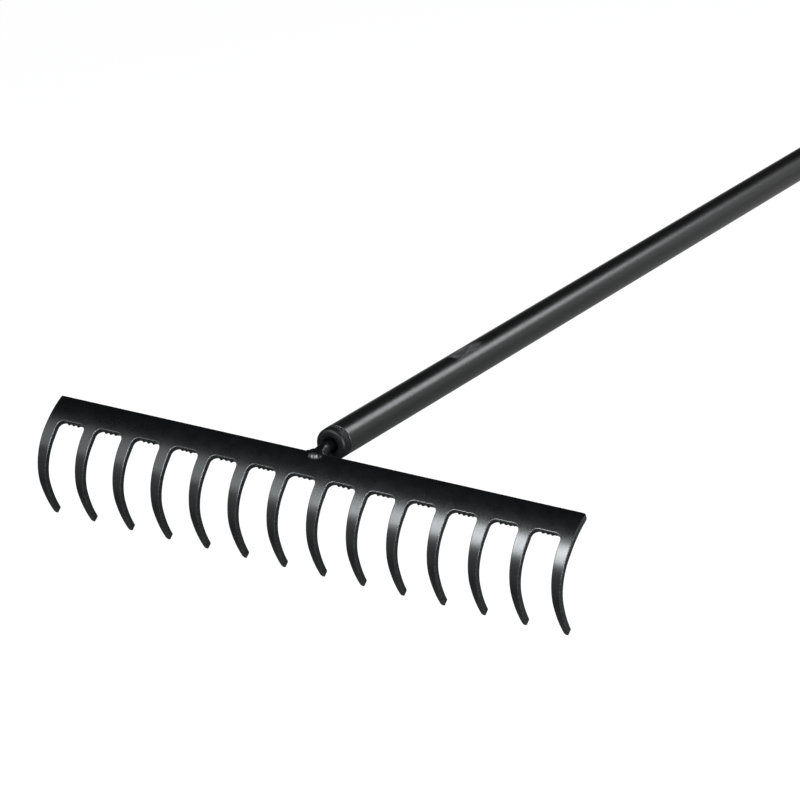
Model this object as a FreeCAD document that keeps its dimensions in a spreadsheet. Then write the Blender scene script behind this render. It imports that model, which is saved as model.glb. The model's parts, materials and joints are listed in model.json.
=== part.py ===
import FreeCAD, Part
import math
import os

import Sketcher

# Level-head garden rake: a rolled steel head with fourteen tines, a tang rod welded to its top
# edge, and a tubular handle that holds the rod between a socket plug and a tail bush.
#
# Every sub-part is drawn in the handle's frame: Y along the handle from the head to the hanging
# eye, X along the head, Z away from the tines, with the handle's axis on Y.  One placement then
# lays the whole rake down on its tine tips and its end cap.

V = FreeCAD.Vector
doc = FreeCAD.newDocument("garden_rake")

# ---------------------------------------------------------------- driving dimensions, mm and deg
sheet = doc.addObject("Spreadsheet::Sheet", "sizes")
DIMENSIONS = {
    # head
    "tine_count": 14,
    "tine_pitch": 29.5,
    "tine_width": 8.3,
    "tip_width": 3.3,
    "plate_thickness": 4.2,
    "edge_forward": 0.5,       # top edge of the head in front of Y = 0
    "edge_rise": 1.2,          # and above the handle's axis
    "edge_slope": 24.3,        # the plate leaves its top edge this far below the horizontal
    "upper_radius": 61.7,
    "upper_turn": 29.2,
    "middle_radius": 35.5,
    "middle_turn": 58.3,
    "lower_radius": 92.8,
    "lower_turn": 17.2,
    "bar_height": 19.0,        # from the top edge to the roots of the gaps, along the plate
    "gap_corner": 5.0,
    "tip_chamfer": 0.7,
    "tip_chamfer_rise": 1.8,
    # tang
    "tang_radius": 4.0,
    "tang_length": 232.0,
    "tang_lap": 0.5,           # the rod runs this far past the top edge
    "tang_tail_chamfer": 1.0,
    "weld_half_width": 7.4,    # half axes of the weld's egg shape: along the top edge,
    "weld_half_length": 7.3,   # along the rod
    "weld_half_height": 6.1,   # and upwards
    "weld_centre_back": 2.1,   # centre of the egg shape behind the top edge
    "weld_centre_drop": 3.0,   # and below the handle's axis
    "weld_back": 5.5,          # the weld ends this far behind the top edge
    "weld_bottom": 2.6,        # and this far below the handle's axis
    # lower end of the handle
    "plug_face": 17.0,
    "plug_round": 2.6,
    "tube_start": 25.0,
    "tube_length": 1372.0,
    "tube_radius": 11.1,
    "tube_wall": 1.2,
    "tube_edge_round": 0.4,
    "insert_radius": 9.85,
    "insert_chamfer": 1.0,
    "plug_spigot": 45.0,
    "plug_recess_radius": 5.6,
    "plug_recess_depth": 2.5,
    "bush_start": 168.0,
    "bush_length": 52.0,
    "crimp_centre": 194.0,     # flat pressed into the tube above the bush, which locks the bush
    "crimp_length": 42.0,
    "crimp_depth": 0.8,
    "crimp_half_width": 5.0,
    "crimp_inner_half_width": 4.0,
    "washer_radius": 8.2,
    "washer_thickness": 0.8,
    "washer_slot_width": 1.0,
    "washer_slot_radius": 5.6,
    "washer_slot_count": 6,
    # upper end of the handle
    "cap_spigot": 30.0,
    "cap_rim_radius": 11.0,
    "cap_rim_length": 7.0,
    "cap_rim_round": 2.0,
    "tongue_thickness": 9.0,
    "tongue_half_width": 10.0,
    "tongue_waist": 7.2,       # half width where the tongue leaves the rim
    "tongue_reach": 19.0,      # from the rim's end face to the centre of the eye
    "tongue_round": 1.5,
    "eye_radius": 4.5,
}
for row, (alias, value) in enumerate(DIMENSIONS.items(), start=1):
    sheet.set(f"A{row}", alias)
    sheet.set(f"B{row}", str(value))
    sheet.setAlias(f"B{row}", alias)
doc.recompute()


def dim(alias):
    return float(sheet.get(alias))


TIP_CLEARANCE = 6.0        # the cuts between the tines run on this far below the tips
CUT_THROUGH = 5.0          # depth of a cut that is to pass through a plate, in plate thicknesses

# ------------------------------------------------------------------------------ drawing helpers
def new_body(label):
    body = doc.addObject("PartDesign::Body", label)
    body.Label = label
    return body


def origin_item(body, role):
    return next(item for item in body.Origin.OriginFeatures if item.Role == role)


def new_sketch(body, name, role):
    sketch = body.newObject("Sketcher::SketchObject", name)
    sketch.AttachmentSupport = [(origin_item(body, role), "")]
    sketch.MapMode = "FlatFace"
    return sketch


def close_path(sketch, path):
    """Add a closed chain of edges and tie each end to the next start."""
    ids = [sketch.addGeometry(edge, False) for edge in path]
    for first, second in zip(ids, ids[1:] + ids[:1]):
        ends = [sketch.getPoint(first, spot) for spot in (1, 2)]
        starts = [sketch.getPoint(second, spot) for spot in (1, 2)]
        gap, end, start = min(
            ((p - q).Length, i + 1, j + 1) for i, p in enumerate(ends) for j, q in enumerate(starts)
        )
        sketch.addConstraint(Sketcher.Constraint("Coincident", first, end, second, start))
    return ids


def bind(sketch, constraint, expression):
    index = sketch.addConstraint(constraint)
    sketch.setExpression(f"Constraints[{index}]", expression)


def line(a, b):
    return Part.LineSegment(V(a[0], a[1], 0), V(b[0], b[1], 0))


def arc(a, middle, b):
    return Part.Arc(V(a[0], a[1], 0), V(middle[0], middle[1], 0), V(b[0], b[1], 0))


def corner(centre, radius, start_deg, end_deg):
    """Arc about a centre, given by its start and end angles."""
    spots = []
    for angle in (start_deg, (start_deg + end_deg) / 2, end_deg):
        turn = math.radians(angle)
        spots.append((centre[0] + radius * math.cos(turn), centre[1] + radius * math.sin(turn)))
    return arc(*spots)


def slot_outline(body, name, height, centre, length, half):
    """Round-ended outline along the handle, on a level plane above the axis."""
    sketch = new_sketch(body, name, "XY_Plane")
    sketch.AttachmentOffset = FreeCAD.Placement(V(0, 0, height), FreeCAD.Rotation())
    low, high = centre - length / 2 + half, centre + length / 2 - half
    close_path(sketch, [
        line((-half, high), (-half, low)),
        corner((0, low), half, 180, 360),
        line((half, low), (half, high)),
        corner((0, high), half, 0, 180),
    ])
    return sketch


def cut_upwards(body, name, sketch):
    """Cut everything above a level sketch, and make sure that something was cut."""
    before = body.Shape.Volume
    cut = body.newObject("PartDesign::Pocket", name)
    cut.Profile = sketch
    cut.Type = "ThroughAll"
    cut.Reversed = True
    body.Tip = cut
    doc.recompute()
    if body.Shape.Volume >= before:
        raise RuntimeError(f"{name} cut nothing")


def revolve(body, name, path, bindings=()):
    """Turn a half section, drawn as (along the handle, radius), about the handle's axis."""
    sketch = new_sketch(body, f"{name}_section", "YZ_Plane")
    ids = close_path(sketch, path)
    for kind, edge, spot, expression in bindings:
        point = sketch.getPoint(ids[edge], spot)
        value = point.x if kind == "DistanceX" else point.y
        bind(sketch, Sketcher.Constraint(kind, ids[edge], spot, value), expression)
    feature = body.newObject("PartDesign::Revolution", name)
    feature.Profile = sketch
    feature.ReferenceAxis = (sketch, ["H_Axis"])
    feature.Angle = 360.0
    return feature


# ------------------------------------------------------------------------- shape of the rake head
def head_arcs():
    """Radius and turn of the three tangent arcs of the plate's outer face, from its top edge."""
    return [(dim(f"{part}_radius"), dim(f"{part}_turn")) for part in ("upper", "middle", "lower")]


def plate_point(distance, depth=0.0):
    """Point (y, z) at a distance along the outer face, and depth into the plate, and its slope."""
    y, z = -dim("edge_forward"), dim("edge_rise")
    slope = math.radians(dim("edge_slope"))
    left = distance
    for radius, turn in head_arcs():
        sweep = min(left / radius, math.radians(turn))
        y += radius * (math.sin(slope) - math.sin(slope + sweep))
        z += radius * (math.cos(slope + sweep) - math.cos(slope))
        slope += sweep
        left -= radius * sweep
        if left <= 1e-9:
            break
    return (y + depth * math.sin(slope), z - depth * math.cos(slope)), slope


plate_length = sum(radius * math.radians(turn) for radius, turn in head_arcs())
gap_count = int(dim("tine_count")) - 1
head_half_width = gap_count * dim("tine_pitch") / 2 + dim("tine_width") / 2
tip_point = plate_point(plate_length)[0]

# height at which the cut square to the plate hands over to the cut from the front, beyond the
# rounded corners of the gaps
handover = plate_point(dim("bar_height") + 2 * dim("gap_corner"))[0][1]
below_tips = tip_point[1] - TIP_CLEARANCE


def build_rake_head():
    body = new_body("rake_head")

    # C section of the plate: three arcs on the outer face, the same three offset on the inner one
    sketch = new_sketch(body, "plate_section", "YZ_Plane")
    thickness = dim("plate_thickness")
    stations = [0.0]
    for radius, turn in head_arcs():
        stations.append(stations[-1] + radius * math.radians(turn))
    outer, inner = [], []
    for low, high in zip(stations, stations[1:]):
        spots = (low, (low + high) / 2, high)
        outer.append(arc(*[plate_point(spot)[0] for spot in spots]))
        inner.insert(0, arc(*[plate_point(spot, thickness)[0] for spot in reversed(spots)]))
    tip_edge = line(plate_point(stations[-1])[0], plate_point(stations[-1], thickness)[0])
    top_edge = line(plate_point(0.0, thickness)[0], plate_point(0.0)[0])
    ids = close_path(sketch, outer + [tip_edge] + inner + [top_edge])
    for index, part in enumerate(("upper", "middle", "lower")):
        bind(sketch, Sketcher.Constraint("Radius", ids[index], head_arcs()[index][0]),
             f"sizes.{part}_radius")
    plate = body.newObject("PartDesign::Pad", "plate")
    plate.Profile = sketch
    plate.Midplane = True
    plate.setExpression(
        "Length", "(sizes.tine_count - 1) * sizes.tine_pitch + sizes.tine_width")
    doc.recompute()

    # root of the first gap, punched square to the plate
    first_gap = -(gap_count - 1) / 2 * dim("tine_pitch")
    half_gap = (dim("tine_pitch") - dim("tine_width")) / 2
    root_point, root_slope = plate_point(dim("bar_height"))
    root = new_sketch(body, "gap_root_outline", "XY_Plane")
    root.AttachmentOffset = FreeCAD.Placement(
        V(0, root_point[0], root_point[1]),
        FreeCAD.Rotation(V(1, 0, 0), math.degrees(root_slope)))
    left, right = first_gap - half_gap, first_gap + half_gap
    rounding = dim("gap_corner")
    reach = -3 * rounding
    ids = close_path(root, [
        line((left, reach), (left, -rounding)),
        corner((left + rounding, -rounding), rounding, 180, 90),
        line((left + rounding, 0), (right - rounding, 0)),
        corner((right - rounding, -rounding), rounding, 90, 0),
        line((right, -rounding), (right, reach)),
        line((right, reach), (left, reach)),
    ])
    for index in (1, 3):
        bind(root, Sketcher.Constraint("Radius", ids[index], rounding), "sizes.gap_corner")
    root_cut = body.newObject("PartDesign::Pocket", "gap_root")
    root_cut.Profile = root
    root_cut.Midplane = True
    root_cut.setExpression("Length", f"sizes.plate_thickness * {CUT_THROUGH}")
    doc.recompute()

    # rest of the first gap, opening towards the chamfered tips, seen from the front
    front = new_sketch(body, "gap_outline", "XZ_Plane")
    half_tip_gap = (dim("tine_pitch") - dim("tip_width")) / 2
    chamfer = dim("tip_chamfer")
    low = tip_point[1] + dim("tip_chamfer_rise")
    bottom = tip_point[1]

    def side(sign):
        return [
            (first_gap + sign * half_gap, handover),
            (first_gap + sign * half_tip_gap, low),
            (first_gap + sign * (half_tip_gap + chamfer), bottom),
            (first_gap + sign * (half_tip_gap + chamfer), below_tips),
        ]

    spots = side(-1) + side(1)[::-1]
    close_path(front, [line(a, b) for a, b in zip(spots, spots[1:] + spots[:1])])
    front_cut = body.newObject("PartDesign::Pocket", "gap")
    front_cut.Profile = front
    front_cut.Type = "ThroughAll"
    front_cut.Midplane = True
    doc.recompute()

    gaps = body.newObject("PartDesign::LinearPattern", "gaps")
    gaps.Originals = [root_cut, front_cut]
    gaps.Direction = (front, ["H_Axis"])
    gaps.setExpression("Length", "(sizes.tine_count - 2) * sizes.tine_pitch")
    gaps.setExpression("Occurrences", "sizes.tine_count - 1")
    body.Tip = gaps
    doc.recompute()

    # outer sides of the two end tines
    ends = new_sketch(body, "end_taper", "XZ_Plane")
    end_centre = gap_count * dim("tine_pitch") / 2
    outside = head_half_width + dim("tine_width")
    for sign in (-1, 1):
        spots = [
            (sign * head_half_width, handover),
            (sign * (end_centre + dim("tip_width") / 2), low),
            (sign * (end_centre + dim("tip_width") / 2 - chamfer), bottom),
            (sign * (end_centre + dim("tip_width") / 2 - chamfer), below_tips),
            (sign * outside, below_tips),
            (sign * outside, handover),
        ]
        close_path(ends, [line(a, b) for a, b in zip(spots, spots[1:] + spots[:1])])
    end_cut = body.newObject("PartDesign::Pocket", "end_tine_taper")
    end_cut.Profile = ends
    end_cut.Type = "ThroughAll"
    end_cut.Midplane = True
    body.Tip = end_cut
    doc.recompute()
    return body


# ------------------------------------------------------------------------------------ tang rod
def build_tang_blank():
    body = new_body("tang_blank")
    radius, chamfer = dim("tang_radius"), dim("tang_tail_chamfer")
    start, end = -dim("edge_forward") - dim("tang_lap"), dim("tang_length")
    revolve(body, "rod", [
        line((start, 0), (start, radius)),
        line((start, radius), (end - chamfer, radius)),
        line((end - chamfer, radius), (end, radius - chamfer)),
        line((end, radius - chamfer), (end, 0)),
        line((end, 0), (start, 0)),
    ], [("DistanceY", 1, 1, "sizes.tang_radius"), ("DistanceX", 3, 1, "sizes.tang_length")])
    return body


def build_weld_pad():
    """Heap of weld metal round the rod's foot, before the rod and the plate are taken out of it."""
    body = new_body("weld_pad")
    heap = body.newObject("PartDesign::AdditiveEllipsoid", "weld_metal")
    heap.AttachmentSupport = [(origin_item(body, "XY_Plane"), "")]
    heap.MapMode = "FlatFace"
    centre = V(0, dim("weld_centre_back") - dim("edge_forward"), -dim("weld_centre_drop"))
    heap.AttachmentOffset = FreeCAD.Placement(centre, FreeCAD.Rotation())
    heap.setExpression("Radius1", "sizes.weld_half_height")
    heap.setExpression("Radius2", "sizes.weld_half_width")
    heap.setExpression("Radius3", "sizes.weld_half_length")
    body.Tip = heap
    doc.recompute()

    # squared off behind and below
    back, bottom = dim("weld_back") - dim("edge_forward"), -dim("weld_bottom")
    far, beyond = 2 * dim("weld_half_length"), 2 * dim("weld_half_height")
    sketch = new_sketch(body, "weld_trim_outline", "YZ_Plane")
    spots = [(back, beyond), (back, bottom), (-far, bottom), (-far, -beyond), (far, -beyond), (far, beyond)]
    close_path(sketch, [line(a, b) for a, b in zip(spots, spots[1:] + spots[:1])])
    trim = body.newObject("PartDesign::Pocket", "weld_trim")
    trim.Profile = sketch
    trim.Type = "ThroughAll"
    trim.Midplane = True
    body.Tip = trim
    doc.recompute()
    return body


# ------------------------------------------------------- lower end of the handle, and its inserts
def build_socket_plug():
    body = new_body("socket_plug")
    face, rim, spigot = dim("plug_face"), dim("tube_start"), dim("tube_start") + dim("plug_spigot")
    outer, inner, bore = dim("tube_radius"), dim("insert_radius"), dim("tang_radius")
    rounding = dim("plug_round")
    recess, depth = dim("plug_recess_radius"), dim("plug_recess_depth")
    bevel = dim("insert_chamfer")
    revolve(body, "plug", [
        line((face, recess), (face, outer - rounding)),
        corner((face + rounding, outer - rounding), rounding, 180, 90),
        line((face + rounding, outer), (rim, outer)),
        line((rim, outer), (rim, inner)),
        line((rim, inner), (spigot - bevel, inner)),
        line((spigot - bevel, inner), (spigot, inner - bevel)),
        line((spigot, inner - bevel), (spigot, bore)),
        line((spigot, bore), (face + depth, bore)),
        line((face + depth, bore), (face, recess)),
    ], [("DistanceY", 2, 2, "sizes.tube_radius"), ("DistanceX", 3, 1, "sizes.tube_start"),
        ("DistanceX", 0, 1, "sizes.plug_face")])
    return body


def build_handle_tube():
    body = new_body("handle_tube")
    start, end = dim("tube_start"), dim("tube_start") + dim("tube_length")
    outer, inner = dim("tube_radius"), dim("tube_radius") - dim("tube_wall")
    rounding = dim("tube_edge_round")
    revolve(body, "tube", [
        line((start, inner), (start, outer - rounding)),
        corner((start + rounding, outer - rounding), rounding, 180, 90),
        line((start + rounding, outer), (end - rounding, outer)),
        corner((end - rounding, outer - rounding), rounding, 90, 0),
        line((end, outer - rounding), (end, inner)),
        line((end, inner), (start, inner)),
    ], [("DistanceY", 2, 1, "sizes.tube_radius"), ("DistanceX", 0, 1, "sizes.tube_start"),
        ("DistanceX", 4, 1, "sizes.tube_start + sizes.tube_length")])
    doc.recompute()

    # the crimp: the wall bulges into the bore under the flat that is pressed into its outside
    flat = outer - dim("crimp_depth")
    half = dim("crimp_inner_half_width")
    shorter = dim("crimp_length") - 2 * (dim("crimp_half_width") - half)
    bulge_outline = slot_outline(
        body, "crimp_bulge_outline", flat, dim("crimp_centre"), shorter, half)
    bulge = body.newObject("PartDesign::Pad", "crimp_bulge")
    bulge.Profile = bulge_outline
    bulge.Reversed = True
    bulge.setExpression("Length", "sizes.tube_wall")
    doc.recompute()
    cut_upwards(body, "crimp_flat", slot_outline(
        body, "crimp_flat_outline", flat, dim("crimp_centre"), dim("crimp_length"),
        dim("crimp_half_width")))
    return body


def build_tail_bush():
    body = new_body("tail_bush")
    start, end = dim("bush_start"), dim("bush_start") + dim("bush_length")
    outer, bore, bevel = dim("insert_radius"), dim("tang_radius"), dim("insert_chamfer")
    revolve(body, "bush", [
        line((start, bore), (start, outer - bevel)),
        line((start, outer - bevel), (start + bevel, outer)),
        line((start + bevel, outer), (end, outer)),
        line((end, outer), (end, bore)),
        line((end, bore), (start, bore)),
    ], [("DistanceY", 2, 1, "sizes.insert_radius"), ("DistanceX", 0, 1, "sizes.bush_start")])
    doc.recompute()

    # flat seat under the tube's crimp, clear of it by as much as the bush is of the bore
    gap = dim("tube_radius") - dim("tube_wall") - dim("insert_radius")
    seat = dim("tube_radius") - dim("crimp_depth") - dim("tube_wall") - gap
    half = dim("crimp_half_width")
    length = dim("crimp_length") + 2 * (half - dim("crimp_inner_half_width"))
    cut_upwards(body, "crimp_seat", slot_outline(
        body, "crimp_seat_outline", seat, dim("crimp_centre"), length, half))
    return body


def build_lock_washer():
    body = new_body("lock_washer")
    start = dim("bush_start") + dim("bush_length")
    thickness = dim("washer_thickness")
    revolve(body, "washer", [
        line((start, dim("tang_radius")), (start, dim("washer_radius"))),
        line((start, dim("washer_radius")), (start + thickness, dim("washer_radius"))),
        line((start + thickness, dim("washer_radius")), (start + thickness, dim("tang_radius"))),
        line((start + thickness, dim("tang_radius")), (start, dim("tang_radius"))),
    ], [("DistanceY", 0, 2, "sizes.washer_radius")])
    doc.recompute()

    # slots from the hole outwards leave the teeth that bite the rod
    sketch = new_sketch(body, "tooth_slot_outline", "XZ_Plane")
    sketch.AttachmentOffset = FreeCAD.Placement(
        V(0, 0, -start - thickness / 2), FreeCAD.Rotation())
    half, low, high = dim("washer_slot_width") / 2, dim("tang_radius") / 2, dim("washer_slot_radius")
    spots = [(-half, low), (half, low), (half, high), (-half, high)]
    close_path(sketch, [line(a, b) for a, b in zip(spots, spots[1:] + spots[:1])])
    slot = body.newObject("PartDesign::Pocket", "tooth_slot")
    slot.Profile = sketch
    slot.Midplane = True
    slot.setExpression("Length", f"sizes.washer_thickness * {CUT_THROUGH}")
    doc.recompute()
    slots = body.newObject("PartDesign::PolarPattern", "tooth_slots")
    slots.Originals = [slot]
    slots.Axis = (origin_item(body, "Y_Axis"), [""])
    slots.Angle = 360.0
    slots.setExpression("Occurrences", "sizes.washer_slot_count")
    body.Tip = slots
    return body


# ------------------------------------------------------------------------------ hanging end cap
def build_end_cap():
    body = new_body("end_cap")
    tube_end = dim("tube_start") + dim("tube_length")
    spigot, face = tube_end - dim("cap_spigot"), tube_end + dim("cap_rim_length")
    rim, inner, rounding = dim("cap_rim_radius"), dim("insert_radius"), dim("cap_rim_round")
    bevel = dim("insert_chamfer")
    revolve(body, "cap", [
        line((spigot, 0), (spigot, inner - bevel)),
        line((spigot, inner - bevel), (spigot + bevel, inner)),
        line((spigot + bevel, inner), (tube_end, inner)),
        line((tube_end, inner), (tube_end, rim)),
        line((tube_end, rim), (face - rounding, rim)),
        corner((face - rounding, rim - rounding), rounding, 90, 0),
        line((face, rim - rounding), (face, 0)),
        line((face, 0), (spigot, 0)),
    ], [("DistanceY", 4, 1, "sizes.cap_rim_radius"), ("DistanceY", 2, 1, "sizes.insert_radius")])
    doc.recompute()

    # flat tongue with a round end, and the eye through it
    half, eye = dim("tongue_half_width"), face + dim("tongue_reach")
    root = face - dim("cap_rim_length") / 2
    waist = dim("tongue_waist")
    sketch = new_sketch(body, "tongue_outline", "XY_Plane")
    close_path(sketch, [
        line((-waist, root), (waist, root)),
        line((waist, root), (half, eye)),
        arc((half, eye), (0, eye + half), (-half, eye)),
        line((-half, eye), (-waist, root)),
    ])
    tongue = body.newObject("PartDesign::Pad", "tongue")
    tongue.Profile = sketch
    tongue.Midplane = True
    tongue.setExpression("Length", "sizes.tongue_thickness")
    doc.recompute()
    outline = new_sketch(body, "eye_outline", "XY_Plane")
    circle = outline.addGeometry(Part.Circle(V(0, eye, 0), V(0, 0, 1), dim("eye_radius")), False)
    bind(outline, Sketcher.Constraint("Radius", circle, dim("eye_radius")), "sizes.eye_radius")
    hole = body.newObject("PartDesign::Pocket", "eye")
    hole.Profile = outline
    hole.Type = "ThroughAll"
    hole.Midplane = True
    body.Tip = hole
    doc.recompute()

    # the tongue's two flat sides are rounded over, outside and round the eye
    rim_clear = face + dim("tongue_round")
    level = dim("tongue_thickness") / 2
    edges = []
    for index, edge in enumerate(hole.Shape.Edges, start=1):
        box = edge.BoundBox
        flat = box.ZLength < 1e-4 and abs(abs(box.ZMin) - level) < 1e-4
        if flat and box.YMax > rim_clear:
            edges.append(f"Edge{index}")
    rounded = body.newObject("PartDesign::Fillet", "tongue_rounding")
    rounded.Base = (hole, edges)
    rounded.setExpression("Radius", "sizes.tongue_round")
    body.Tip = rounded
    doc.recompute()
    return body


head = build_rake_head()
tang_blank = build_tang_blank()
weld_pad = build_weld_pad()
plug = build_socket_plug()
tube = build_handle_tube()
bush = build_tail_bush()
washer = build_lock_washer()
cap = build_end_cap()
doc.recompute()

# the rod's foot is notched to sit on the top edge of the head
tang = doc.addObject("Part::Cut", "tang_rod")
tang.Label = "tang_rod"
tang.Base = tang_blank
tang.Tool = head

# the weld is a heap round the foot, less the rod and the plate that it joins
joined = doc.addObject("Part::MultiFuse", "head_and_rod")
joined.Shapes = [head, tang_blank]
weld = doc.addObject("Part::Cut", "tang_weld")
weld.Label = "tang_weld"
weld.Base = weld_pad
weld.Tool = joined
doc.recompute()

# ------------------------------------------------------------------ laying the rake on the floor
# The floor touches the outer corner of the tine tips and the rounding of the cap's rim.
round_centre_y = (dim("tube_start") + dim("tube_length") + dim("cap_rim_length")
                  - dim("cap_rim_round"))
round_centre_z = -(dim("cap_rim_radius") - dim("cap_rim_round"))
run = round_centre_y - tip_point[0]
rise = round_centre_z - tip_point[1]
rest_angle = math.atan2(rise, run) - math.asin(dim("cap_rim_round") / math.hypot(run, rise))
lay_down = FreeCAD.Placement(V(0, 0, 0), FreeCAD.Rotation(V(1, 0, 0), -math.degrees(rest_angle)))

sub_parts = [head, tang, weld, plug, tube, bush, washer, cap]
whole = Part.makeCompound([item.Shape.copy() for item in sub_parts])
whole.Placement = lay_down
box = whole.optimalBoundingBox(True, False)
rest = FreeCAD.Placement(
    V(-(box.XMin + box.XMax) / 2, -(box.YMin + box.YMax) / 2, -box.ZMin), lay_down.Rotation)

for body in (head, tang_blank, weld_pad, plug, tube, bush, washer, cap):
    body.Placement = rest
doc.recompute()

# --------------------------------------------------------------------------- checks and export
for item in doc.Objects:
    if "Invalid" in item.State or "Error" in item.State:
        raise RuntimeError(f"{item.Name} did not compute: {item.State}")
os.makedirs("parts", exist_ok=True)
for item in sub_parts:
    shape = item.Shape
    if shape.isNull() or not shape.isValid() or len(shape.Solids) != 1:
        raise RuntimeError(f"{item.Label} is not one valid solid")
    shape.exportStep(f"parts/{item.Label}.step")
    print(item.Label, "volume", round(shape.Volume, 1), "mm3")
print("rest angle", round(math.degrees(rest_angle), 4), "deg, moved by", rest.Base)
whole_box = Part.makeCompound([item.Shape for item in sub_parts]).optimalBoundingBox(True, False)
print("box", whole_box)
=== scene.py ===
import json
import math

import bmesh
import bpy
import numpy as np
from mathutils import Matrix, Vector


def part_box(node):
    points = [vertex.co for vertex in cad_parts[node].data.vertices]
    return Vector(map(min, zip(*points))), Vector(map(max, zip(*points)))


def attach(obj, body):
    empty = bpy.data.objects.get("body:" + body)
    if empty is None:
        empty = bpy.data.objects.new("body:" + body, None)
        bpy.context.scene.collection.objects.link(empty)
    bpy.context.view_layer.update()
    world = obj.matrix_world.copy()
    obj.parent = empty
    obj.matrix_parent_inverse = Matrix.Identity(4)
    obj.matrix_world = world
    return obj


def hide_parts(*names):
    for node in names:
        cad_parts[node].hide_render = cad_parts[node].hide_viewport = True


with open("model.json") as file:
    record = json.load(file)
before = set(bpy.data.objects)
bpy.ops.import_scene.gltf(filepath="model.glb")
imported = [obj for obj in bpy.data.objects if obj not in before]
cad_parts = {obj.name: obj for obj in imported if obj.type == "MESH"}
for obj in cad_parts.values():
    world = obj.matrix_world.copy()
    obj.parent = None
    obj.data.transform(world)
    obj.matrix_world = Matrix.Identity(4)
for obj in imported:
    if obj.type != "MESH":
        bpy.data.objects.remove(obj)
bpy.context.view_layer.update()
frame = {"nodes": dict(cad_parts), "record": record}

# Looks of a level-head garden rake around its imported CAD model.  Pieces are drawn in millimetres
# in the handle's frame (X along the head, Y along the handle from the head to the hanging eye,
# Z away from the tines, the handle's axis on Y) and laid down with the rake by rest_matrix.

MM = 0.001
rng = np.random.default_rng(14)

# -------------------------------------------------------------------- sizes, as in the CAD, mm
TINE_COUNT = 14
TINE_PITCH = 29.5
TINE_WIDTH = 8.3
TIP_WIDTH = 3.3
PLATE_THICKNESS = 4.2
EDGE_FORWARD = 0.5
EDGE_RISE = 1.2
EDGE_SLOPE = math.radians(24.3)
# radius and turn of each arc of the plate's outer face, from its top edge to the tips
PLATE_ARCS = [(61.7, math.radians(29.2)), (35.5, math.radians(58.3)), (92.8, math.radians(17.2))]
PLATE_LENGTH = sum(radius * turn for radius, turn in PLATE_ARCS)
BAR_HEIGHT = 19.0
GAP_CORNER = 5.0
TAPER_START = BAR_HEIGHT + 2 * GAP_CORNER
TIP_CHAMFER = 0.7
TIP_CHAMFER_RISE = 1.8
TANG_RADIUS = 4.0
PLUG_FACE = 17.0
TUBE_START = 25.0
TUBE_RADIUS = 11.1
TUBE_WALL = 1.2
INSERT_RADIUS = 9.85
PLUG_SPIGOT = 45.0
RECESS_RADIUS = 5.6
RECESS_DEPTH = 2.5
CRIMP_CENTRE = 194.0
CRIMP_LENGTH = 42.0
CRIMP_DEPTH = 0.8

# -------------------------------------------------------------- sizes of the looks alone, mm
FRONT_ROUND = 0.52          # round of the plate's outer edge, which is rolled over and worn by rubbing; its lighter coat also paints a brighter highlight line
BACK_ROUND = 0.22           # round of its inner edge, which is sharper
EDGE_MARGIN = 0.16          # flat margin between a round and the face's grid
RUB_FADE = 0.35             # depth below the outer round over which the rub runs out
EDGE_RUB = 0.2              # how rubbed the cut sides are, where the outer edge is 1
BLUNT_CORNER = 0.5          # the bar's right top corner is a little blunt
SHARPEST_MITRE = 0.55       # limit of the mitre at the outline's corners
COLUMN_SHARE = 0.52         # place of the inner columns in a tine's half width
COLUMN_MARGIN = 0.2
LEAST_COLUMN = 0.25

LUMP_COUNT = 4              # lumps that the punch left in the root of each gap
LUMP_START = 2.6
LUMP_SPACING = (3.2, 4.0)
LUMP_SIZES = (0.75, 1.35)
LUMP_WIDTH = 1.0
TEAR_AT_FRONT = 0.2         # share of a lump that shows at the outer face
TEAR_BREAK = (0.15, 0.8)    # shares of the thickness between which the rest breaks out

NOSE_RADIUS = TUBE_RADIUS - 0.12
NOSE_ROUND = 2.5
FACE_RADIUS = 7.6           # the plug's face dips towards the recess inside this radius
FACE_DIP = 0.35
RIM_LENGTH = 2.5            # the proud rim, with the seam to the tube at its end
SEAM = 0.5
GROOVE_WIDTH = 0.5          # in front of the rim
GROOVE_DEPTH = 0.35
SPIGOT_CHAMFER = 1.0
ROD_CLEARANCE = 0.02

CRIMP_STEEP = 4.5           # length of the crimp's steep end, towards the head
CRIMP_RUN_OUT = 16.0        # length of its slow end
LEAST_LEAN = 0.2            # keeps the flat's formula finite on the sides of the tube
LIP_HEIGHT = 0.10           # the wall swells a little in front of the steep end
LIP_WIDTH = 1.1
LIP_OFFSET = 0.4
LIP_SPREAD = (0.93, 0.98)   # cosines of the angle from the flat's middle over which it fades in
SCUFF_ANGLE = math.radians(93)     # middle of the rubbed band, from +X towards +Z
SCUFF_SPREAD = (0.80, 0.975)       # cosines of the angle from its middle over which it fades in
TUBE_SEGMENTS = 160
CRIMP_REACH = 24.0          # the tube's rings are close together up to here from the crimp's middle
FINE_STEP = 0.75
COARSE_STEP = 40.0

ROD_START = -0.8
TAIL_MARGIN = 0.6           # the rod stops this far before the far end of the CAD rod's box
ROD_CORE = 0.5              # radius of the small flat caps that close the rod's ends
HAMMERED_END = 24.0         # the rod is hammered up to here, which is inside the plug
DENT_DEPTH = 0.05
FOOT_SLOPE = (-1.5, 7.5)    # the rod's foot slopes down to the weld between these
FOOT_DROP = 2.1

# centre and radii of each heap of weld metal: one round the rod's foot, one small beside it
WELD_HEAPS = [
    ((0.2, 1.5, -2.85), (7.4, 7.4, 6.1)),
    ((-5.1, 0.2, -0.65), (3.0, 2.2, 2.2)),
]
WELD_RIPPLE = 0.010
WELD_SQUARENESS = 0.72      # below 1 the heap is fuller at its sides
WELD_BACK = 5.6             # the heap ends flat at this Y, behind the plate's top edge
WELD_BOTTOM = -2.6          # and at this Z
WELD_NARROWING = 0.085      # per mm behind Y = 0, as is the next
WELD_SINKING = 0.2
WELD_VOXEL = 0.22

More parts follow.
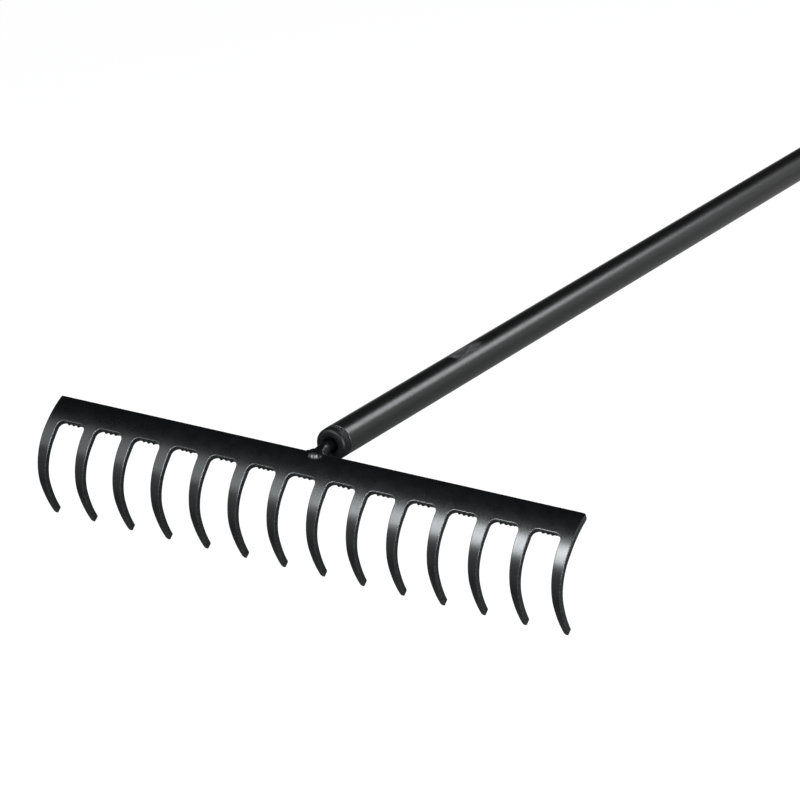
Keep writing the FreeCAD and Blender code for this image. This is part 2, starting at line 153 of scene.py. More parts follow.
# ---------------------------------------------------------------------- floor, light and camera
FLOOR_HALF_SIZE = 6.0       # m
TABLE_GLOW = 0.96
# what pieces mirror of the table, by the place along the handle (mm): a painted shadow of the rake,
# dimmest near the head
MIRRORED_GLOW_PAINTED_SHADOW = [(-400, 0.50), (-110, 0.46), (-45, 0.09), (60, 0.09), (200, 0.23), (800, 0.46)]
ROOM_GLOW = 0.04
LOW_GLOW = 0.9
GLOW_DIRECTION = (0.50, 0.82, 0.27)
GLOW_EDGE = 0.80            # cosine of the angle at which the low glow ends
COOL_WHITE = (0.93, 0.975, 1.0)
BACK_WHITE = (0.94, 0.96, 1.0)
# name, place and target in the handle's frame (mm), width and height (m), radiance, colour
SOFTBOXES = [
    ("front_left_box", (-330, -580, 425), (55, 0, -20), 0.85, 0.50, 3.7, COOL_WHITE),
    ("front_right_box", (-88, -495, 539), (255, 0, -20), 0.34, 0.20, 32.0, COOL_WHITE),
    ("front_right_low_box", (-139, -590, 380), (275, 0, -20), 0.32, 0.20, 20.0, COOL_WHITE),
    ("front_low_card", (-480, -860, 70), (0, 0, 0), 1.0, 0.30, 1.0, COOL_WHITE),
    ("right_box", (800, -200, 450), (50, -10, -20), 0.40, 0.30, 14.0, COOL_WHITE),
    ("right_low_card", (1030, -600, 230), (0, 0, 0), 0.40, 0.60, 45.0, COOL_WHITE),
    ("back_box", (430, 1215, 772), (0, 0, 0), 0.46, 0.50, 7.7, BACK_WHITE),
]
CAMERA_PLACE = Vector((1354.2, -2220.3, 1024.9))     # mm, in the handle's frame
CAMERA_AIM = Vector((-0.35, 106.3, 2.2))
CAMERA_ROLL = math.radians(0.53)
CAMERA_LENS = 197.1
SENSOR_WIDTH = 36.0

# --------------------------------------------------------- the handle's frame, from the record
mounts = {mount["name"]: mount for mount in frame["record"]["mounts"]}
tube_mount = mounts["handle_grip_tube"]
TUBE_LENGTH = tube_mount["dims"]["length_mm"]
along = Vector(tube_mount["axis"]).normalized()
upwards = -Vector(mounts["hanging_eye"]["axis"]).normalized()
across = along.cross(upwards)
origin = Vector(tube_mount["pos_m"]) - along * (TUBE_START + TUBE_LENGTH / 2) * MM
rest_matrix = Matrix.Translation(origin) @ Matrix((across, along, upwards)).transposed().to_4x4()


# --------------------------------------------------------------------------------- mesh helpers
def handle_place(x, y, z):
    """Place in the row's frame of a point given in the handle's frame, mm."""
    return rest_matrix @ (Vector((x, y, z)) * MM)


def add_mesh(name, points_mm, faces, material, weighted=True):
    """Smooth-shaded object from points in the handle's frame, placed in the row's frame."""
    mesh = bpy.data.meshes.new(name)
    mesh.from_pydata([handle_place(*point) for point in points_mm], [], faces)
    mesh.validate()
    mesh.shade_smooth()
    mesh.materials.append(material)
    piece = bpy.data.objects.new(name, mesh)
    bpy.context.scene.collection.objects.link(piece)
    if weighted:
        modifier = piece.modifiers.new("weighted_normals", "WEIGHTED_NORMAL")
        modifier.weight = 80
        modifier.keep_sharp = False
    return piece


def float_attribute(piece, name, values):
    """Give a piece one number per point, for its material to read."""
    attribute = piece.data.attributes.new(name, "FLOAT", "POINT")
    attribute.data.foreach_set("value", np.asarray(values, np.float32))


def finish_piece(piece, node):
    """Attach a piece to the root body as the looks of a CAD node, and hide the node's CAD mesh."""
    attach(piece, "root")
    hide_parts(node)


def smooth_step(low, high, value):
    """Smooth rise from 0 at low to 1 at high."""
    share = np.clip((value - low) / (high - low), 0, 1)
    return share * share * (3 - 2 * share)


# ------------------------------------------------------------------------------------- rake head
def plate_point(distance, depth):
    """(y, z) at a distance along the head's outer face and a depth into the plate."""
    distance, depth = np.broadcast_arrays(np.asarray(distance, float), np.asarray(depth, float))
    y, z = np.full(distance.shape, -EDGE_FORWARD), np.full(distance.shape, EDGE_RISE)
    slope, left = np.full(distance.shape, EDGE_SLOPE), distance.copy()
    for radius, turn in PLATE_ARCS:
        sweep = np.clip(left / radius, 0, turn)
        y = y + radius * (np.sin(slope) - np.sin(slope + sweep))
        z = z + radius * (np.cos(slope + sweep) - np.cos(slope))
        slope = slope + sweep
        left = np.maximum(left - radius * turn, 0)
    return y + depth * np.sin(slope), z - depth * np.cos(slope)


def tine_half_width(distance):
    """Half width of a tine along its length, with the chamfers of its tip."""
    taper = np.clip((distance - TAPER_START) / (PLATE_LENGTH - TAPER_START), 0, 1)
    half = TINE_WIDTH / 2 + (TIP_WIDTH - TINE_WIDTH) / 2 * taper
    chamfer = np.clip((distance - PLATE_LENGTH) / TIP_CHAMFER_RISE + 1, 0, 1)
    return half - TIP_CHAMFER * chamfer


def across_tine(half):
    """Offsets from a tine's middle of the five columns across it, the inner ones clear of its rounds."""
    inner = min(COLUMN_SHARE * half, max(half - FRONT_ROUND - COLUMN_MARGIN, LEAST_COLUMN))
    return -half, -inner, 0.0, inner, half


def gap_columns(left, right):
    """Columns (x, bottom, tear) along the root of a gap: a corner, the torn root, a corner."""
    corner = []
    for angle in np.radians(np.linspace(0, 90, 9))[1:]:
        rise = GAP_CORNER * (1 - math.sin(angle))
        corner.append((GAP_CORNER * (1 - math.cos(angle)), BAR_HEIGHT + rise))
    # lumps left by the punch, mostly over the right two thirds of the root
    lump_places = left + LUMP_START + np.cumsum(rng.uniform(*LUMP_SPACING, LUMP_COUNT))
    lump_sizes = rng.uniform(*LUMP_SIZES, LUMP_COUNT)
    columns = [(left + inset, bottom, 0.0) for inset, bottom in corner]
    for x in np.linspace(left + GAP_CORNER, right - GAP_CORNER, 25)[1:-1]:
        bells = np.exp(-((x - lump_places) / LUMP_WIDTH) ** 2)
        columns.append((x, BAR_HEIGHT, float(lump_sizes @ bells)))
    columns += [(right - inset, bottom, 0.0) for inset, bottom in reversed(corner)]
    return columns


def head_outline_grid():
    """Flat grid of the unrolled head: points (x, s), faces, and how far each may be torn."""
    bar_rows = (0, 0.09, 0.22, 0.36, 0.5, 0.64, 0.78, 0.9, 1.0)
    tine_bottom = PLATE_LENGTH - TIP_CHAMFER_RISE
    tine_rows = np.linspace(BAR_HEIGHT + GAP_CORNER, tine_bottom, 50)[1:]
    tine_rows = [*tine_rows, PLATE_LENGTH - 1.0, PLATE_LENGTH]
    half_bar = (TINE_COUNT - 1) / 2 * TINE_PITCH + TINE_WIDTH / 2
    points, faces, torn = [], [], []
    previous = None

    def add_column(x, bottom, tear=0.0):
        """Column of the bar, joined to the one before.  Returns its lowest point."""
        nonlocal previous
        column = len(points)
        for share in bar_rows:
            blunt = BLUNT_CORNER if share == 0 and x > half_bar - 0.01 else 0.0
            points.append((x - blunt, bottom * share + blunt))
            torn.append(tear if share == 1.0 else 0.0)
        if previous is not None:
            for row in range(len(bar_rows) - 1):
                faces.append((previous + row, previous + row + 1, column + row + 1, column + row))
        previous = column
        return column + len(bar_rows) - 1

    def add_tine(centre, above):
        """Tine below five points of the bar's lower edge."""
        for distance in tine_rows:
            row = []
            for offset in across_tine(float(tine_half_width(distance))):
                row.append(len(points))
                points.append((centre + offset, distance))
                torn.append(0.0)
            for k in range(len(row) - 1):
                faces.append((above[k], row[k], row[k + 1], above[k + 1]))
            above = row

    for index in range(TINE_COUNT):
        centre = (index - (TINE_COUNT - 1) / 2) * TINE_PITCH
        offsets = across_tine(TINE_WIDTH / 2)
        add_tine(centre, [add_column(centre + offset, BAR_HEIGHT + GAP_CORNER) for offset in offsets])
        if index < TINE_COUNT - 1:
            left = centre + TINE_WIDTH / 2
            for x, bottom, tear in gap_columns(left, left + TINE_PITCH - TINE_WIDTH):
                add_column(x, bottom, tear)
    return np.array(points), faces, np.array(torn)


def boundary_loop(faces):
    """Vertices round the one free boundary of a flat grid, in order."""
    edges = {(a, b) for face in faces for a, b in zip(face, face[1:] + face[:1])}
    step = {a: b for a, b in edges if (b, a) not in edges}
    start = min(step)
    loop = [start]
    while step[loop[-1]] != start:
        loop.append(step[loop[-1]])
    return loop


def inward_normals(points, loop):
    """Mitred inward normals of a closed outline, which runs with its inside on one side."""
    ring = points[loop]
    before, after = np.roll(ring, 1, axis=0), np.roll(ring, -1, axis=0)

    def unit(v):
        return v / np.linalg.norm(v, axis=1, keepdims=True)

    first, second = unit(ring - before), unit(after - ring)
    normal = unit(np.stack([-(first + second)[:, 1], (first + second)[:, 0]], axis=1))
    straight = np.stack([-first[:, 1], first[:, 0]], axis=1)
    mitre = 1 / np.clip(np.sum(normal * straight, axis=1), SHARPEST_MITRE, 1)
    area = 0.5 * np.sum(ring[:, 0] * after[:, 1] - after[:, 0] * ring[:, 1])
    return normal * mitre[:, None] * (1 if area > 0 else -1)


def edge_rings():
    """Rings round the plate's edge, each an inset, a depth and how worn the coat is there; the lighter
    worn coat on the outer round also paints a brighter highlight line.
    """
    rings = [(FRONT_ROUND + EDGE_MARGIN, 0.0, 0.0)]
    for angle in np.radians([0, 22.5, 45, 67.5, 90]):
        rings.append((FRONT_ROUND * (1 - math.sin(angle)), FRONT_ROUND * (1 - math.cos(angle)), 1.0))
    rings.append((0.0, FRONT_ROUND + RUB_FADE, EDGE_RUB))
    rings.append((0.0, 0.6 * PLATE_THICKNESS, EDGE_RUB))
    for angle in np.radians([90, 60, 30, 0]):
        rise = BACK_ROUND * (1 - math.cos(angle))
        rings.append((BACK_ROUND * (1 - math.sin(angle)), PLATE_THICKNESS - rise, EDGE_RUB))
    rings.append((BACK_ROUND + EDGE_MARGIN, PLATE_THICKNESS, 0.0))
    return rings


def build_rake_head(material):
    """One rolled plate: the flat grid as its outer and inner face, and rings round its edge."""
    flat, faces, torn = head_outline_grid()
    order = np.array(boundary_loop(faces))
    inward = inward_normals(flat, order)
    tear = torn[order]
    rings = edge_rings()

    # layers of the unrolled plate: points (x, s), depth and rub
    front, back = flat.copy(), flat.copy()
    front[order] += inward * rings[0][0]
    back[order] += inward * (rings[-1][0] - tear)[:, None]
    layers = [(front, 0.0, 0.0)]
    for inset, depth, rub in rings[1:-1]:
        shown = smooth_step(*TEAR_BREAK, depth / PLATE_THICKNESS)
        torn_out = tear * (TEAR_AT_FRONT + (1 - TEAR_AT_FRONT) * shown)
        layers.append((flat[order] + inward * (inset - torn_out)[:, None], depth, rub))
    layers.append((back, PLATE_THICKNESS, 0.0))
    unrolled = np.concatenate([layer for layer, _, _ in layers])
    depths = np.concatenate([np.full(len(layer), depth) for layer, depth, _ in layers])
    edge_rub_and_sheen = np.concatenate([np.full(len(layer), rub) for layer, _, rub in layers])
    y, z = plate_point(np.minimum(unrolled[:, 1], PLATE_LENGTH), depths)
    points = np.stack([unrolled[:, 0], y, z], axis=1)

    # the outer face, a strip from each ring to the next, and the inner face turned round
    size = len(order)
    back_start = len(flat) + (len(rings) - 2) * size
    middle = [len(flat) + k * size + np.arange(size) for k in range(len(rings) - 2)]
    starts = [order, *middle, back_start + order]
    skin = list(faces)
    for inner, outer in zip(starts, starts[1:]):
        for k in range(size):
            n = (k + 1) % size
            skin.append((int(inner[n]), int(inner[k]), int(outer[k]), int(outer[n])))
    skin += [tuple(back_start + v for v in reversed(face)) for face in faces]
    piece = add_mesh("rake_head_plate", points, skin, material)
    # edge attribute: 1 on the outer round, whose lighter worn coat also paints a brighter highlight line
    float_attribute(piece, "edge", edge_rub_and_sheen)
    finish_piece(piece, "rake_head")


# ------------------------------------------------------------------------------ turned pieces
def rounded_profile(corners, steps=4):
    """Closed outline of (along, radius) points from corners (along, radius, rounding)."""
    spots = []
    for k, (y, r, rounding) in enumerate(corners):
        here = np.array([y, r])
        before = np.array(corners[k - 1][:2]) - here
        after = np.array(corners[(k + 1) % len(corners)][:2]) - here
        if rounding <= 0:
            spots.append(tuple(here))
            continue
        before, after = before / np.linalg.norm(before), after / np.linalg.norm(after)
        half = math.acos(np.clip(before @ after, -1, 1)) / 2
        tangent = rounding / math.tan(half)
        centre = here + (before + after) / np.linalg.norm(before + after) * rounding / math.sin(half)
        start, end = here + before * tangent - centre, here + after * tangent - centre
        sweep = math.pi - 2 * half
        for step in range(steps + 1):
            share = step / steps
            arm = (math.sin((1 - share) * sweep) * start + math.sin(share * sweep) * end)
            spots.append(tuple(centre + arm / math.sin(sweep)))
    return spots


def turned(name, profile, material, segments=128, shape=None, solid=False):
    """Body of revolution about the handle's axis from an (along, radius) outline.

    The outline is closed for a ring.  For a solid it runs from end to end, with a flat cap on each.
    shape gives the radius where the body isn't quite round.
    """
    angles = np.arange(segments) * 2 * math.pi / segments
    points, faces = [], []
    for y, r in profile:
        for angle in angles:
            radius = r if shape is None else shape(y, r, angle)
            points.append((radius * math.cos(angle), y, radius * math.sin(angle)))
    rings = len(profile)
    for k in range(rings - 1 if solid else rings):
        low, high = k * segments, ((k + 1) % rings) * segments
        for a in range(segments):
            b = (a + 1) % segments
            faces.append((low + a, low + b, high + b, high + a))
    if solid:
        faces.append(tuple(range(segments - 1, -1, -1)))
        faces.append(tuple((rings - 1) * segments + a for a in range(segments)))
    return add_mesh(name, points, faces, material)


def build_socket_plug(material):
    """Moulded end plug: dished face, rounded nose, a proud rim against the tube and the spigot."""
    spigot = TUBE_START + PLUG_SPIGOT
    rim = TUBE_START - RIM_LENGTH
    bore = TANG_RADIUS + ROD_CLEARANCE
    profile = rounded_profile([
        (PLUG_FACE + FACE_DIP, RECESS_RADIUS, 0.3),
        (PLUG_FACE, FACE_RADIUS, 0.8),
        (PLUG_FACE, NOSE_RADIUS, NOSE_ROUND),
        (rim - GROOVE_WIDTH, NOSE_RADIUS, 0.05),
        (rim - GROOVE_WIDTH / 2, NOSE_RADIUS - GROOVE_DEPTH, 0.1),
        (rim, TUBE_RADIUS, 0.15),
        (TUBE_START - SEAM - 0.05, TUBE_RADIUS, 0.35),
        (TUBE_START - SEAM, INSERT_RADIUS, 0),
        (spigot - SPIGOT_CHAMFER, INSERT_RADIUS, 0.2),
        (spigot, INSERT_RADIUS - SPIGOT_CHAMFER, 0.2),
        (spigot, bore, 0),
        (PLUG_FACE + RECESS_DEPTH, bore, 0),
        (PLUG_FACE + RECESS_DEPTH, RECESS_RADIUS, 0),
    ], steps=7)
    piece = turned("end_plug", profile[::-1], material)
    finish_piece(piece, "socket_plug")


def crimp_share(y):
    """How far the crimp is pressed in at a place along the tube: a steep end, then a slow run-out."""
    near, far = CRIMP_CENTRE - CRIMP_LENGTH / 2, CRIMP_CENTRE + CRIMP_LENGTH / 2
    pressed = smooth_step(near, near + CRIMP_STEEP, y)
    return float(pressed * (1 - smooth_step(far - CRIMP_RUN_OUT, far, y)))


def crimped(y, r, angle):
    """Radius of the tube's wall with the flat pressed into its top, and a lip in front of it."""
    inner = r < TUBE_RADIUS - TUBE_WALL / 2
    flat = TUBE_RADIUS - CRIMP_DEPTH - (TUBE_WALL if inner else 0)
    lean = max(math.cos(angle - math.pi / 2), LEAST_LEAN)
    pressed = min(r, flat / lean)
    lip_place = CRIMP_CENTRE - CRIMP_LENGTH / 2 - LIP_OFFSET
    lip = LIP_HEIGHT * math.exp(-((y - lip_place) / LIP_WIDTH) ** 2)
    return r + (pressed - r) * crimp_share(y) + lip * float(smooth_step(*LIP_SPREAD, lean))


def build_handle_tube(material):
    """Tube with its crimp and, as a point attribute, how scuffed the coat is on the flat."""
    end = TUBE_START + TUBE_LENGTH
    corners = rounded_profile([
        (TUBE_START, TUBE_RADIUS - TUBE_WALL, 0.15),
        (TUBE_START, TUBE_RADIUS, 0.4),
        (end, TUBE_RADIUS, 0.4),
        (end, TUBE_RADIUS - TUBE_WALL, 0.15),
    ])
    # extra rings along both walls, close together at the crimp
    fine = np.arange(CRIMP_CENTRE - CRIMP_REACH, CRIMP_CENTRE + CRIMP_REACH + 0.1, FINE_STEP)
    coarse = np.arange(TUBE_START + COARSE_STEP, end - COARSE_STEP / 4, COARSE_STEP)
    stations = np.sort(np.concatenate([fine, coarse[abs(coarse - CRIMP_CENTRE) > CRIMP_REACH]]))
    start_points = len(corners) // 2
    profile = corners[:start_points]
    profile += [(y, TUBE_RADIUS) for y in stations]
    profile += corners[start_points:]
    profile += [(y, TUBE_RADIUS - TUBE_WALL) for y in stations[::-1]]
    outline = profile[::-1]
    piece = turned("tube", outline, material, segments=TUBE_SEGMENTS, shape=crimped)
    angles = np.arange(TUBE_SEGMENTS) * 2 * math.pi / TUBE_SEGMENTS
    band = smooth_step(*SCUFF_SPREAD, np.cos(angles - SCUFF_ANGLE))
    float_attribute(piece, "scuff", np.concatenate([crimp_share(y) * band for y, _ in outline]))
    finish_piece(piece, "handle_tube")


def hammered(y, r, angle):
    """Rod radius with the faint flats of forging, and its foot sloping down to the weld."""
    if r < TANG_RADIUS / 2 or y > HAMMERED_END:
        return r
    foot = 1 - float(smooth_step(*FOOT_SLOPE, y))
    dent = DENT_DEPTH * (1 + math.cos(3 * angle + 0.35 * y) * math.sin(0.5 * y + 1.3))
    return r - dent - FOOT_DROP * foot * max(math.sin(angle), 0) ** 2


def build_tang_rod(material):
    """Round rod from the weld to just short of the CAD rod's tail."""
    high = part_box("tang_rod")[1]
    tail = (Vector(high) - origin).dot(along) / MM - TAIL_MARGIN
    profile = rounded_profile([
        (ROD_START, ROD_CORE, 0),
        (ROD_START, TANG_RADIUS, 0.8),
        (tail, TANG_RADIUS, 1.0),
        (tail, ROD_CORE, 0),
    ], steps=5)
    stations = [(y, TANG_RADIUS) for y in np.arange(1.0, HAMMERED_END, 0.8)]
    middle = len(profile) // 2
    outline = profile[:middle] + stations + profile[middle:]
    piece = turned("tang", outline[::-1], material, segments=64, shape=hammered, solid=True)
    finish_piece(piece, "tang_rod")


def build_weld(material):
    """Fillet weld: a rippled heap over the rod's foot that runs down over the head's face."""
    shape = bmesh.new()
    for centre, radii in WELD_HEAPS:
        ball = bmesh.ops.create_icosphere(shape, subdivisions=5, radius=1.0)["verts"]
        for vertex in ball:
            bearing = math.atan2(vertex.co.y, vertex.co.x)
            vertex.co *= 1 + WELD_RIPPLE * math.cos(24 * bearing + 5 * vertex.co.z)
            vertex.co.x = math.copysign(abs(vertex.co.x) ** WELD_SQUARENESS, vertex.co.x)
        bmesh.ops.scale(shape, vec=radii, verts=ball)
        bmesh.ops.translate(shape, vec=centre, verts=ball)
        for vertex in ball:
            behind = min(max(vertex.co.y, 0), WELD_BACK)
            vertex.co.x *= 1 - WELD_NARROWING * behind
            vertex.co.y = min(vertex.co.y, WELD_BACK)
            vertex.co.z = max(vertex.co.z - WELD_SINKING * behind, WELD_BOTTOM)
    points = [vertex.co.copy() for vertex in shape.verts]
    faces = [[vertex.index for vertex in face.verts] for face in shape.faces]
    shape.free()
    piece = add_mesh("weld", points, faces, material, weighted=False)
    remesh = piece.modifiers.new("merge", "REMESH")
    remesh.mode = "VOXEL"
    remesh.voxel_size = WELD_VOXEL * MM
    remesh.use_smooth_shade = True
    relax = piece.modifiers.new("relax", "SMOOTH")
    relax.factor = 0.5
    relax.iterations = 5
    finish_piece(piece, "tang_weld")


# ------------------------------------------------------------------------------------ materials
def map_range(tree, source, low, high, out_low, out_high):
    """Map Range node over a socket."""
    node = tree.nodes.new("ShaderNodeMapRange")
    values = (("From Min", low), ("From Max", high), ("To Min", out_low), ("To Max", out_high))
    for socket, value in values:
        node.inputs[socket].default_value = value
    tree.links.new(source, node.inputs["Value"])
    return node


def dot_product(tree, source, direction):
    """Dot product of a vector socket and a fixed direction."""
    node = tree.nodes.new("ShaderNodeVectorMath")
    node.operation = "DOT_PRODUCT"
    node.inputs[1].default_value = direction
    tree.links.new(source, node.inputs[0])
    return node.outputs["Value"]


def seen_or_mirrored(tree, seen, mirrored):
    """Strength that the picture's own rays see, and the dimmer one for reflections and bounces."""
    path = tree.nodes.new("ShaderNodeLightPath")
    strength = tree.nodes.new("ShaderNodeMix")
    tree.links.new(path.outputs["Is Camera Ray"], strength.inputs["Factor"])
    strength.inputs["B"].default_value = seen
    tree.links.new(mirrored, strength.inputs["A"])
    return strength.outputs["Result"]


class Nodes:
    """Short names for building a material.  Noise scales are per metre."""

    def __init__(self, name):
        self.material = bpy.data.materials.new(name)
        self.material.use_nodes = True
        self.tree = self.material.node_tree
        self.shader = self.tree.nodes["Principled BSDF"]
        self.place = self.tree.nodes.new("ShaderNodeTexCoord").outputs["Object"]

    def link(self, source, target):
        self.tree.links.new(source, target)

    def noise(self, scale, detail=3.0, roughness=0.55, stretch=None):
        """Noise over the piece, its place multiplied by stretch along each axis."""
        node = self.tree.nodes.new("ShaderNodeTexNoise")
        node.inputs["Scale"].default_value = scale
        node.inputs["Detail"].default_value = detail
        node.inputs["Roughness"].default_value = roughness
        source = self.place
        if stretch:
            mapping = self.tree.nodes.new("ShaderNodeMapping")
            mapping.inputs["Scale"].default_value = stretch
            self.link(source, mapping.inputs["Vector"])
            source = mapping.outputs["Vector"]
        self.link(source, node.inputs["Vector"])
        return node.outputs["Fac"]

    def spread(self, source, low, high, out_low, out_high):
        """Values of a socket from low to high, mapped onto another range."""
        return map_range(self.tree, source, low, high, out_low, out_high).outputs["Result"]

    def math(self, operation, a, b):
        """Result of an operation on two sockets or numbers."""
        node = self.tree.nodes.new("ShaderNodeMath")
        node.operation = operation
        for socket, value in zip(node.inputs, (a, b)):
            if isinstance(value, (int, float)):
                socket.default_value = value
            else:
                self.link(value, socket)
        return node.outputs["Value"]

    def mix(self, share, first, second):
        """Colour between two colours, each a tuple or a socket."""
        node = self.tree.nodes.new("ShaderNodeMix")
        node.data_type = "RGBA"
        colours = [s for s in node.inputs if s.type == "RGBA"]
        for socket, value in zip(colours, (first, second)):
            if isinstance(value, tuple):
                socket.default_value = (*value, 1)
            else:
                self.link(value, socket)
        factor = [s for s in node.inputs if s.name == "Factor" and s.type == "VALUE"][0]
        self.link(share, factor)
        return [s for s in node.outputs if s.type == "RGBA"][0]

    def attribute(self, name):
        """Number that a piece carries at each of its points."""
        node = self.tree.nodes.new("ShaderNodeAttribute")
        node.attribute_name = name
        return node.outputs["Fac"]

    def bump(self, layers):
        """Chain of bumps: (height, distance in metres, strength)."""
        normal = None
        for height, distance, strength in layers:
            node = self.tree.nodes.new("ShaderNodeBump")
            node.inputs["Distance"].default_value = distance
            node.inputs["Strength"].default_value = strength
            self.link(height, node.inputs["Height"])
            if normal is not None:
                self.link(normal, node.inputs["Normal"])
            normal = node.outputs["Normal"]
        self.link(normal, self.shader.inputs["Normal"])


def coated_steel(name, colour, worn, roughness, peel, peel_scale, specular=0.375, wear=None,
                 worn_roughness=None):
    """Black semi-gloss coat: orange peel, faint mottling, a few specks and uneven gloss.

    wear names the point attribute that says where the coat is worn by rubbing or bruised, and there the
    colour is worn and the roughness worn_roughness. On the head's outer round the lighter worn
    colour also paints a brighter highlight line.
    colour is worn and the roughness worn_roughness.
    """
    nodes = Nodes(name)
    mottle = nodes.spread(nodes.noise(60.0, detail=4.0), 0.35, 0.75, 0.0, 1.0)
    specks = nodes.spread(nodes.noise(900.0, detail=2.0), 0.735, 0.76, 0.0, 0.2)
    base = nodes.mix(mottle, colour, tuple(1.6 * c for c in colour))
    base = nodes.mix(specks, base, worn)
    gloss = nodes.spread(nodes.noise(120.0, detail=3.0), 0.3, 0.7, roughness - 0.02, roughness + 0.02)
    if wear:
        grain = nodes.noise(900.0, detail=4.0, roughness=0.65, stretch=(1.0, 0.12, 1.0))
        streaks = nodes.spread(grain, 0.40, 0.60, 0.05, 1.0)
        rub_and_sheen = nodes.math("MULTIPLY", nodes.attribute(wear), streaks)
        # lighter worn colour where the coat is worn; on the head's outer round it also paints a brighter
        # highlight line
        base = nodes.mix(rub_and_sheen, base, worn)
        rougher = nodes.math("MULTIPLY", rub_and_sheen, worn_roughness - roughness)
        gloss = nodes.math("ADD", gloss, rougher)
    nodes.link(base, nodes.shader.inputs["Base Color"])
    nodes.link(gloss, nodes.shader.inputs["Roughness"])
    nodes.shader.inputs["Specular IOR Level"].default_value = specular
    nodes.bump([
        (nodes.noise(peel_scale, detail=2.0, roughness=0.5), 0.00012, peel),
        (nodes.noise(90.0, detail=2.0, roughness=0.4), 0.0004, peel * 0.2),
    ])
    return nodes.material


def moulded_plastic(name, colour, roughness):
    """Moulded black plastic: fine spark-eroded grain, a little mottling."""
    nodes = Nodes(name)
    mottle = nodes.noise(150.0, detail=4.0)
    paler = tuple(c * 2.0 for c in colour)
    base = nodes.mix(nodes.spread(mottle, 0.35, 0.7, 0.0, 0.7), colour, paler)
    nodes.link(base, nodes.shader.inputs["Base Color"])
    nodes.shader.inputs["Specular IOR Level"].default_value = 0.15
    gloss = nodes.spread(nodes.noise(400.0, detail=2.0), 0.3, 0.7, roughness - 0.05, roughness + 0.06)
    nodes.link(gloss, nodes.shader.inputs["Roughness"])
    nodes.bump([
        (nodes.noise(2600.0, detail=2.0), 0.00006, 0.35),
        (nodes.noise(300.0, detail=2.0), 0.0001, 0.15),
    ])
    return nodes.material


def bright_steel(name):
    """Rolled spring steel with its rolling lines."""
    nodes = Nodes(name)
    lines = nodes.noise(300.0, detail=4.0, roughness=0.6, stretch=(12.0, 1.0, 1.0))
    base = nodes.mix(lines, (0.42, 0.42, 0.43), (0.62, 0.62, 0.63))
    nodes.link(base, nodes.shader.inputs["Base Color"])
    nodes.shader.inputs["Metallic"].default_value = 1.0
    nodes.link(nodes.spread(lines, 0.3, 0.7, 0.24, 0.42), nodes.shader.inputs["Roughness"])
    nodes.bump([(lines, 0.00004, 0.3)])
    return nodes.material


def light_table(name):
    """Pale acrylic of a product table, lit from below, so that it stays free of hard shadows."""
    nodes = Nodes(name)
    base = nodes.mix(nodes.noise(3.0, detail=3.0), (0.055, 0.055, 0.055), (0.065, 0.065, 0.065))
    nodes.link(base, nodes.shader.inputs["Base Color"])
    nodes.shader.inputs["Roughness"].default_value = 0.8
    nodes.shader.inputs["Specular IOR Level"].default_value = 0.2
    nodes.shader.inputs["Emission Color"].default_value = (1, 1, 1, 1)
    # painted shadow of the rake: what reflections see of the table is dimmed near the head, by the place
    # along the handle
    low, high = MIRRORED_GLOW_PAINTED_SHADOW[0][0], MIRRORED_GLOW_PAINTED_SHADOW[-1][0]
    start = origin.dot(along)
    distance = dot_product(nodes.tree, nodes.place, along)
    share = nodes.spread(distance, start + low * MM, start + high * MM, 0.0, 1.0)
    ramp = nodes.tree.nodes.new("ShaderNodeValToRGB")
    while len(ramp.color_ramp.elements) < len(MIRRORED_GLOW_PAINTED_SHADOW):
        ramp.color_ramp.elements.new(1.0)
    for element, (y, glow) in zip(ramp.color_ramp.elements, MIRRORED_GLOW_PAINTED_SHADOW):
        element.position = (y - low) / (high - low)
        element.color = (glow, glow, glow, 1)
    nodes.link(share, ramp.inputs["Fac"])
    strength = seen_or_mirrored(nodes.tree, TABLE_GLOW, ramp.outputs["Color"])
    nodes.link(strength, nodes.shader.inputs["Emission Strength"])
    return nodes.material


# ---------------------------------------------------------------------- floor, light and camera
def build_floor():
    """Flat table under the rake."""
    mesh = bpy.data.meshes.new("floor")
    half = FLOOR_HALF_SIZE
    mesh.from_pydata([(-half, -half, 0), (half, -half, 0), (half, half, 0), (-half, half, 0)],
                     [], [(0, 1, 2, 3)])
    mesh.materials.append(light_table("light_table"))
    floor = bpy.data.objects.new("floor", mesh)
    bpy.context.scene.collection.objects.link(floor)


def build_world():
    """Pale backdrop over a dim room, with a soft glow low down behind on the right."""
    world = bpy.data.worlds.new("studio")
    world.use_nodes = True
    tree = world.node_tree
    direction = tree.nodes.new("ShaderNodeTexCoord").outputs["Generated"]
    facing = dot_product(tree, direction, Vector(GLOW_DIRECTION).normalized())
    glow = map_range(tree, facing, GLOW_EDGE, 1.0, ROOM_GLOW, LOW_GLOW)
    glow.interpolation_type = "SMOOTHSTEP"
    strength = seen_or_mirrored(tree, 1.0, glow.outputs["Result"])
    tree.links.new(strength, tree.nodes["Background"].inputs["Strength"])
    tree.nodes["Background"].inputs["Color"].default_value = (1, 1, 1, 1)
    bpy.context.scene.world = world


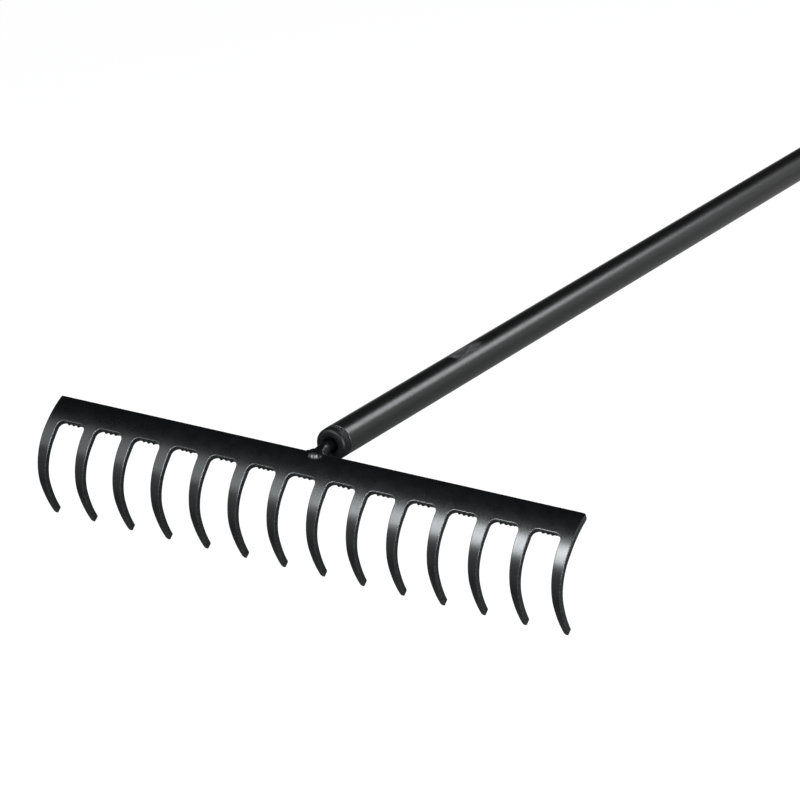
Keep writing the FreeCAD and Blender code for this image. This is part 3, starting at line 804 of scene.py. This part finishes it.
def add_softbox(name, place, target, width, height, radiance, colour):
    """Rectangular light that faces its target."""
    place, target = handle_place(*place), handle_place(*target)
    light = bpy.data.lights.new(name, "AREA")
    light.shape = "RECTANGLE"
    light.size, light.size_y = width, height
    light.energy = math.pi * width * height * radiance
    light.color = colour
    lamp = bpy.data.objects.new(name, light)
    facing = (target - place).to_track_quat("-Z", "Y").to_matrix().to_4x4()
    lamp.matrix_world = Matrix.Translation(place) @ facing
    bpy.context.scene.collection.objects.link(lamp)


def add_camera():
    """The photo's camera, solved in the handle's frame."""
    camera_data = bpy.data.cameras.new("camera")
    camera_data.sensor_width = SENSOR_WIDTH
    camera_data.lens = CAMERA_LENS
    camera = bpy.data.objects.new("camera", camera_data)
    looking = (CAMERA_AIM - CAMERA_PLACE).to_track_quat("-Z", "Y").to_matrix().to_4x4()
    roll = Matrix.Rotation(CAMERA_ROLL, 4, "Z")
    camera.matrix_world = rest_matrix @ (Matrix.Translation(CAMERA_PLACE * MM) @ looking @ roll)
    bpy.context.scene.collection.objects.link(camera)
    bpy.context.scene.camera = camera


# ------------------------------------------------------------------------------------ the scene
BLACK = (0.0003, 0.0004, 0.0005)
head_coat = coated_steel("head_coat", BLACK, worn=(0.014, 0.014, 0.014), roughness=0.275,
                         peel=0.04, peel_scale=700.0, wear="edge", worn_roughness=0.24)
tang_coat = coated_steel("tang_coat", BLACK, worn=(0.010, 0.010, 0.010), roughness=0.30,
                         peel=0.05, peel_scale=600.0, specular=0.30)
tube_coat = coated_steel("tube_coat", (0.0012, 0.0013, 0.0012), worn=(0.080, 0.082, 0.085),
                         roughness=0.30, peel=0.035, peel_scale=900.0, wear="scuff",
                         worn_roughness=0.5)
insert_plastic = moulded_plastic("insert_plastic", (0.0010, 0.0011, 0.0012), 0.47)
cap_plastic = moulded_plastic("cap_plastic", (0.0020, 0.0021, 0.0022), 0.42)
spring_steel = bright_steel("spring_steel")

build_rake_head(head_coat)
build_socket_plug(insert_plastic)
build_handle_tube(tube_coat)
build_tang_rod(tang_coat)
build_weld(tang_coat)
# the pieces out of sight keep their CAD meshes
kept_nodes = {"tail_bush": insert_plastic, "lock_washer": spring_steel, "end_cap": cap_plastic}
for node, material in kept_nodes.items():
    materials = frame["nodes"][node].data.materials
    materials.clear()
    materials.append(material)

build_floor()
build_world()
for softbox in SOFTBOXES:
    add_softbox(*softbox)
add_camera()
bpy.context.scene.view_settings.view_transform = "Standard"
